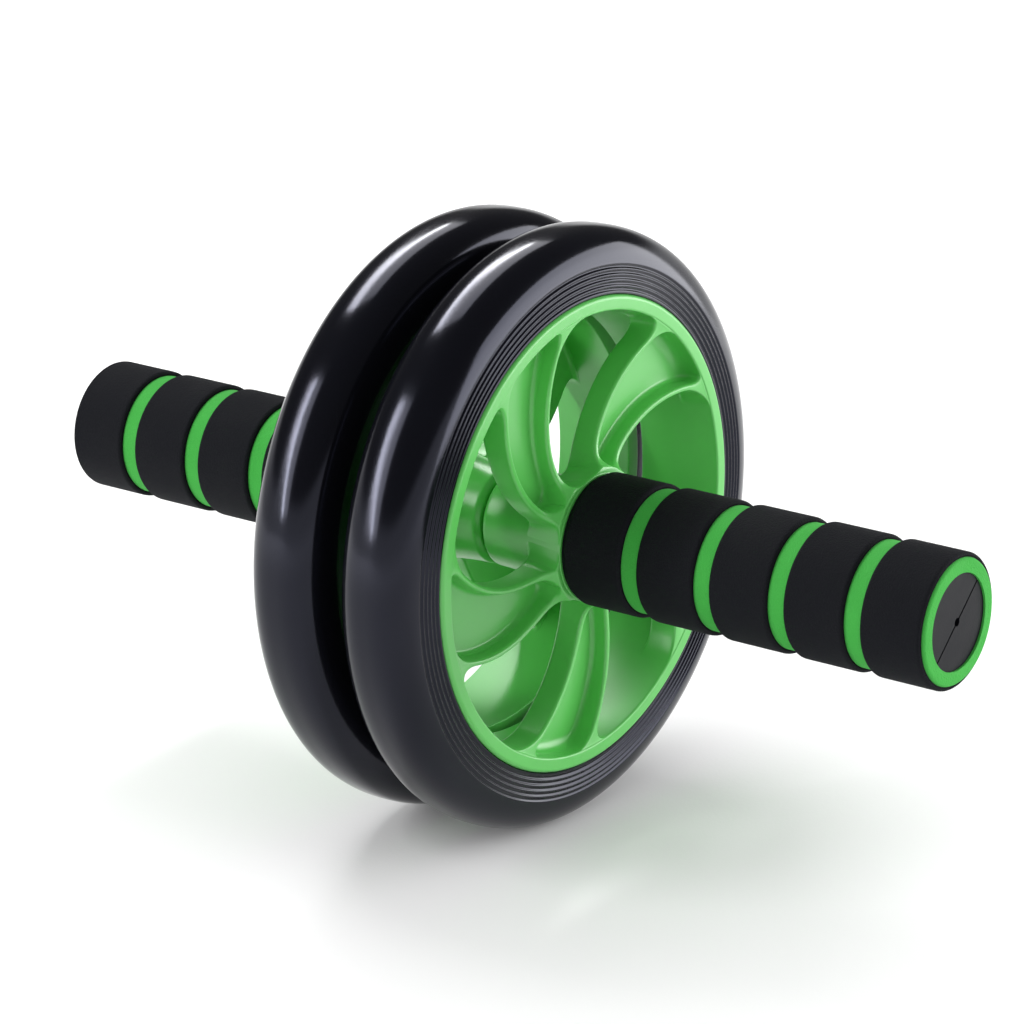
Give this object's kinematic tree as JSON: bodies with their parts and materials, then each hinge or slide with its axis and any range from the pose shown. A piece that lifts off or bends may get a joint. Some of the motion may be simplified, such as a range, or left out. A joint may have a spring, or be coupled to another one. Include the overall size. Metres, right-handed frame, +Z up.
{
  "type": "ab wheel roller",
  "caption": "Twin-wheel exercise roller: two rubber-tyred wheels with swept hollow spokes turn freely on a steel axle between foam grips.",
  "frame": {"origin": "middle of the axle, halfway between the two wheels", "axes": "+X along the axle towards the right grip, +Z up, and the roller stands on its tyres at z = -0.0925 m"},
  "size_m": [0.318, 0.185, 0.185],
  "materials": {
    "green_plastic": "glossy injection-moulded ABS",
    "tyre_rubber": "glossy moulded thermoplastic rubber",
    "black_foam": "matte closed-cell foam rubber",
    "green_foam": "matte closed-cell foam rubber",
    "black_plastic": "satin moulded polypropylene",
    "axle_steel": "turned and zinc-plated steel",
    "nylon": "moulded natural nylon"
  },
  "bodies": {
    "handle_frame": {"axle": "axle_steel", "centre_washer": "axle_steel", "thrust_washer_right": "axle_steel", "core_upper_right": "black_plastic", "core_lower_right": "black_plastic", "sleeve_right": "green_foam", "band_1_right": "black_foam", "band_2_right": "black_foam", "band_3_right": "black_foam", "band_4_right": "black_foam", "band_5_right": "black_foam", "thrust_washer_left": "axle_steel", "core_upper_left": "black_plastic", "core_lower_left": "black_plastic", "sleeve_left": "green_foam", "band_1_left": "black_foam", "band_2_left": "black_foam", "band_3_left": "black_foam", "band_4_left": "black_foam", "band_5_left": "black_foam"},
    "right_wheel": {"hub_right": "green_plastic", "tyre_right": "tyre_rubber", "bush_right_outer": "nylon", "bush_right_inner": "nylon"},
    "left_wheel": {"hub_left": "green_plastic", "tyre_left": "tyre_rubber", "bush_left_outer": "nylon", "bush_left_inner": "nylon"}
  },
  "joints": [
    {"name": "right_wheel_spin", "type": "hinge", "parent": "handle_frame", "child": "right_wheel", "pos_m": [0.0165, 0, 0], "axis": [1, 0, 0], "continuous": true},
    {"name": "left_wheel_spin", "type": "hinge", "parent": "handle_frame", "child": "left_wheel", "pos_m": [-0.0165, 0, 0], "axis": [1, 0, 0], "continuous": true}
  ]
}
